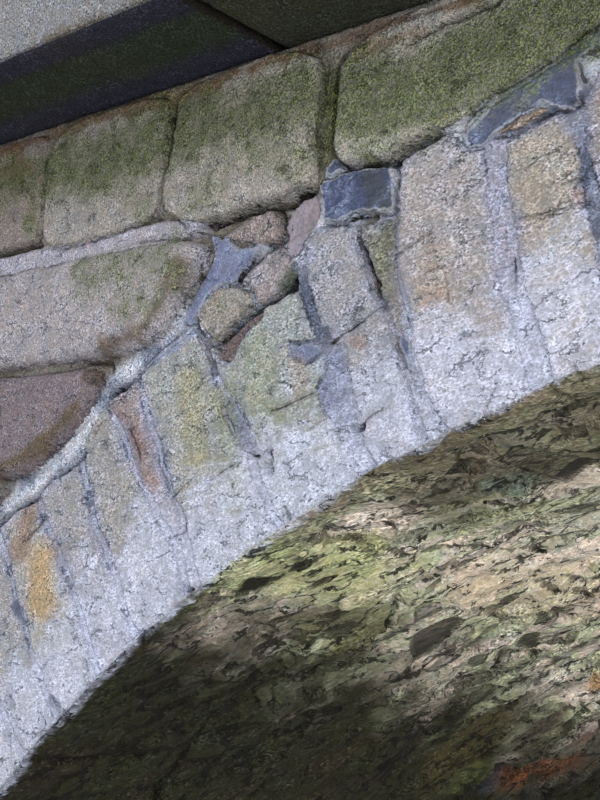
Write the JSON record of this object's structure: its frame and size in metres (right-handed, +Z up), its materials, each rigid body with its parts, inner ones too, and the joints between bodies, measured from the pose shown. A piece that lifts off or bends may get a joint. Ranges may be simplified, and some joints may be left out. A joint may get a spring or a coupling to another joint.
{
  "type": "stone arch bridge",
  "caption": "Small stone arch bridge: a segmental vault of thin radial stones between plain abutments, with filled side walls, an overhanging slab course and coped parapets.",
  "frame": {"origin": "on the ground, under the crown of the arch, halfway between the two faces", "axes": "+X along the road, +Y across it from the front face to the back face, +Z up"},
  "size_m": [7.86, 4.06, 3.61],
  "materials": {
    "ring_stone": "rough squared stone, lime-washed by seepage along its lower edge",
    "vault_stone": "very rough rubble, damp, with green algae and lime",
    "wall_stone": "coursed weathered stone with worn rounded edges and moss in the joints",
    "abutment_stone": "coursed squared stone, dark and damp near the ground",
    "springer_stone": "tooled stone, weathered",
    "slab_stone": "fine granular pale grey stone, dark green underneath",
    "parapet_stone": "coursed weathered stone",
    "coping_stone": "tooled grey stone with lichen",
    "road_gravel": "packed gravel and dust",
    "earth_fill": "rammed earth and rubble, hidden inside"
  },
  "bodies": {
    "root": {"abutment_left": "abutment_stone", "springer_left": "springer_stone", "abutment_right": "abutment_stone", "springer_right": "springer_stone", "barrel": "vault_stone", "front_ring_left": "ring_stone", "front_ring_right": "ring_stone", "back_ring_left": "ring_stone", "back_ring_right": "ring_stone", "front_crown_stone": "ring_stone", "back_crown_stone": "ring_stone", "front_spandrel_left": "wall_stone", "front_spandrel_right": "wall_stone", "back_spandrel_left": "wall_stone", "back_spandrel_right": "wall_stone", "end_wall_left": "wall_stone", "end_wall_right": "wall_stone", "fill": "earth_fill", "roadway": "road_gravel", "front_slab_1": "slab_stone", "front_slab_2": "slab_stone", "front_slab_3": "slab_stone", "front_slab_4": "slab_stone", "front_slab_5": "slab_stone", "front_slab_6": "slab_stone", "front_parapet": "parapet_stone", "front_coping_1": "coping_stone", "front_coping_2": "coping_stone", "front_coping_3": "coping_stone", "front_coping_4": "coping_stone", "front_coping_5": "coping_stone", "front_coping_6": "coping_stone", "back_slab_1": "slab_stone", "back_slab_2": "slab_stone", "back_slab_3": "slab_stone", "back_slab_4": "slab_stone", "back_slab_5": "slab_stone", "back_slab_6": "slab_stone", "back_parapet": "parapet_stone", "back_coping_1": "coping_stone", "back_coping_2": "coping_stone", "back_coping_3": "coping_stone", "back_coping_4": "coping_stone", "back_coping_5": "coping_stone", "back_coping_6": "coping_stone"}
  },
  "joints": []
}
